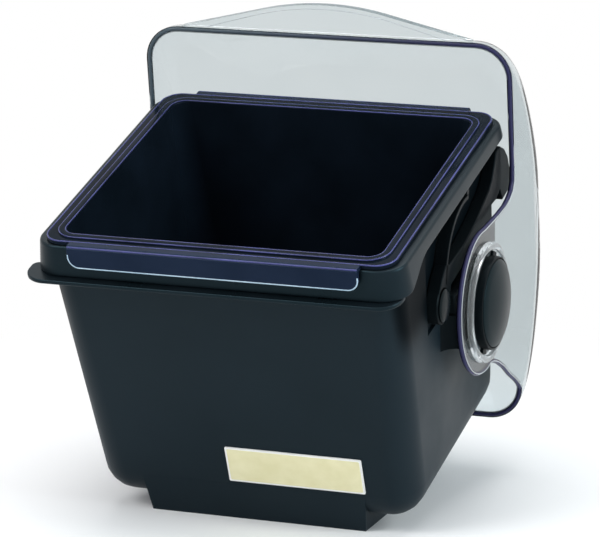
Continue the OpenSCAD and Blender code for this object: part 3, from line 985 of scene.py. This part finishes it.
def make_lever_arm():
    """Arm with its hook, drawn from the pin's axis: over the top to the beak, and back below."""
    tail = 2.9
    over = [(-4, 5), (1, 9.2), (5, 11.5), (7.6, 12.3), (9.6, 10.5), (26.6, 9.9), (40, 11.7), (50.6, 14.1),
            (56, 15.4), (60, 17.5), (63.5, 21), (67, 25)]
    beak = [(71.6, 25.2), (76, 22), (79, 17.5), (80.2, 11.5), (78.8, 5.5)]
    below = [(69.4, 5), (67.6, 10), (62.6, 8.5), (57.6, 9), (56.6, tail + 1), (9.6, tail), (4.6, -3)]
    points = [(PIN_Y + y, -PIN_DROP + z) for y, z in over + beak + below]
    return rounded(prism("arm", points, 0, LEVER_X0, LEVER_X1), 0.45)


def make_spring_finger():
    """Curved finger that presses up under the rim band, with its rounded tip."""
    bend_r, thick, tip_r = 26.0, 1.5, 1.3
    tip_y = PIN_Y + 34.2
    bend_y = tip_y - 5
    bend_z = -BAND_H - SEAT - 2 - bend_r
    strip = arc_points(bend_y, bend_z, bend_r, 78, 166, 30)
    strip += arc_points(bend_y, bend_z, bend_r - thick, 166, 78, 30)
    finger = rounded(prism("finger", strip, 0, LEVER_X0, LEVER_X1), 0.25)
    profile = [(LEVER_X0, tip_r - 0.3), (LEVER_X0 + 0.3, tip_r), (LEVER_X1 - 0.3, tip_r),
               (LEVER_X1, tip_r - 0.3)]
    return [finger, lathe("tip", profile, tip_y, -BAND_H - SEAT - tip_r, 32)]


def make_lever(side):
    """Catch lever: hook arm, hub and spring finger."""
    hub_profile = [(LEVER_X0, HUB_R - 0.4), (LEVER_X0 + 0.4, HUB_R), (LEVER_X1 - 0.4, HUB_R),
                   (LEVER_X1, HUB_R - 0.4)]
    hub = lathe("hub", hub_profile, PIN_Y, -PIN_DROP, 64)
    lever = on_side(joined("lever", [make_lever_arm(), hub] + make_spring_finger()), side)
    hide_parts("catch_lever_" + side)
    place(lever, SET_DOWN, "lever_" + side, painted_shade_black)


def make_pin(side):
    """Domed pin head over the lever's hub."""
    base_x = LEVER_X1 + 0.2
    profile = [(base_x - 1, PIN_R), (base_x, PIN_R), (base_x, PIN_HEAD_R - 0.4),
               (base_x + 0.25, PIN_HEAD_R)]
    profile += domed(base_x + 0.5, TOWER_X, PIN_HEAD_R, 9)
    profile.append((TOWER_X, LEAST_R))
    pin = on_side(lathe("pin_head", profile, PIN_Y, -PIN_DROP, 64), side)
    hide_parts("lever_pin_" + side)
    place(pin, SET_DOWN, "base", black_gloss)


# Label: a white card with a bare cream panel

def make_label_sheet(name, margin, low, high, material):
    """One sheet of the label, with a slightly rounded face."""
    soft = 0.06
    lie = (Matrix.Translation((LABEL_X, wall_y(LABEL_Z) - 0.15, LABEL_Z))
           @ Matrix.Rotation(math.radians(90) + math.atan(FRONT_DRAFT), 4, "X"))
    half_w = LABEL_W / 2 - margin
    half_h = LABEL_H / 2 - margin
    rings = [ring(half_w - drop, -half_h + drop, half_h - drop, 0.5, z, arc=4, side=2)
             for z, drop in ((low, 0), (high - soft, 0), (high, soft))]
    return place(loft(name, rings), SET_DOWN @ lie, "base", material)


def make_label():
    card = make_label_sheet("label_card", 0, 0, LABEL_T - 0.1, label_white)
    make_label_sheet("label_panel", 0.7, LABEL_T - 0.2, LABEL_T, label_cream)
    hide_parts("label_plate")


def dress_foot():
    """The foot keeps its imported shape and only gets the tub's material."""
    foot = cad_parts["foot_wedge"]
    foot.data.materials.clear()
    foot.data.materials.append(black_satin)


# Camera, light and stage

def add_camera():
    camera = new_object("photo_camera", bpy.data.cameras.new("photo_camera"))
    axes = Matrix((CAMERA_RIGHT, CAMERA_UP, CAMERA_BACK)).transposed().to_4x4()
    camera.matrix_world = Matrix.Translation(CAMERA_PLACE) @ axes
    camera.data.lens = CAMERA_LENS
    camera.data.sensor_width = CAMERA_SENSOR
    camera.data.sensor_fit = "HORIZONTAL"
    camera.data.clip_end = 20
    bpy.context.scene.camera = camera


def add_lamp(name, spot, size, power, colour=(1, 1, 1)):
    """Soft lamp that looks at the middle of the object."""
    middle = Vector((0, 0, 0.08))
    lamp = bpy.data.lights.new(name, "AREA")
    lamp.shape = "RECTANGLE"
    lamp.size, lamp.size_y = size
    lamp.energy = power
    lamp.color = colour
    obj = new_object(name, lamp)
    obj.location = spot
    obj.rotation_euler = (middle - Vector(spot)).to_track_quat("-Z", "Y").to_euler()


def seen_directly(tree):
    """1 for camera, transmission and glossy rays, so that glass and gloss show the white backdrop."""
    path = tree.nodes.new("ShaderNodeLightPath")
    seen = path.outputs["Is Camera Ray"]
    for ray in ("Is Transmission Ray", "Is Glossy Ray"):
        seen = math_node(tree, "ShaderNodeMath", "MAXIMUM", seen, path.outputs[ray]).outputs[0]
    return seen


def add_world():
    """Soft fill light from all round, behind a backdrop that is seen as plain white."""
    world = bpy.data.worlds.new("studio")
    bpy.context.scene.world = world
    world.use_nodes = True
    tree = world.node_tree
    tree.nodes.clear()
    shades = []
    for colour, strength in (((0.75, 0.78, 0.82, 1), 0.55), ((1, 1, 1, 1), 1.0)):
        shade = tree.nodes.new("ShaderNodeBackground")
        shade.inputs["Color"].default_value = colour
        shade.inputs["Strength"].default_value = strength
        shades.append(shade.outputs[0])
    out = tree.nodes.new("ShaderNodeOutputWorld")
    tree.links.new(mixed(tree, seen_directly(tree), *shades), out.inputs["Surface"])


def floor_paper():
    """White paper that keeps the shadow near the object and turns into the plain backdrop further out."""
    fade_start, fade_end = 0.06, 0.26
    paper = principled("floor_paper", (0.93, 0.93, 0.93), 0.9, Specular_IOR_Level=0.0)
    tree = paper.node_tree
    away = math_node(tree, "ShaderNodeVectorMath", "LENGTH", object_spot(tree)).outputs["Value"]
    fade = span(tree, away, fade_start, fade_end)
    share = math_node(tree, "ShaderNodeMath", "MULTIPLY", fade, seen_directly(tree)).outputs[0]
    backdrop = tree.nodes.new("ShaderNodeEmission")
    backdrop.inputs["Color"].default_value = (1, 1, 1, 1)
    backdrop.inputs["Strength"].default_value = 1.0
    surface = mixed(tree, share, tree.nodes["Principled BSDF"].outputs[0], backdrop.outputs[0])
    tree.links.new(surface, tree.nodes["Material Output"].inputs["Surface"])
    return paper


def add_stage():
    half = 3.0
    corners = [(-half, -half, 0), (half, -half, 0), (half, half, 0), (-half, half, 0)]
    floor = mesh_from("floor", corners, [(0, 1, 2, 3)])
    floor.data.materials.append(floor_paper())


add_camera()
add_world()
add_stage()
add_lamp("key", (-0.9, -1.1, 1.3), (0.9, 0.9), 16)
add_lamp("side", (1.4, -0.2, 0.7), (0.5, 1.0), 16, (0.9, 1.0, 1.03))
add_lamp("top", (0, 0.2, 1.5), (1.2, 1.2), 14)

make_base()
make_tray()
make_lid()
make_collars()
make_lid_edge()
for side in ("left", "right"):
    make_knob(side)
    make_lever(side)
    make_pin(side)
make_label()
dress_foot()

bpy.context.scene.view_settings.view_transform = "Standard"
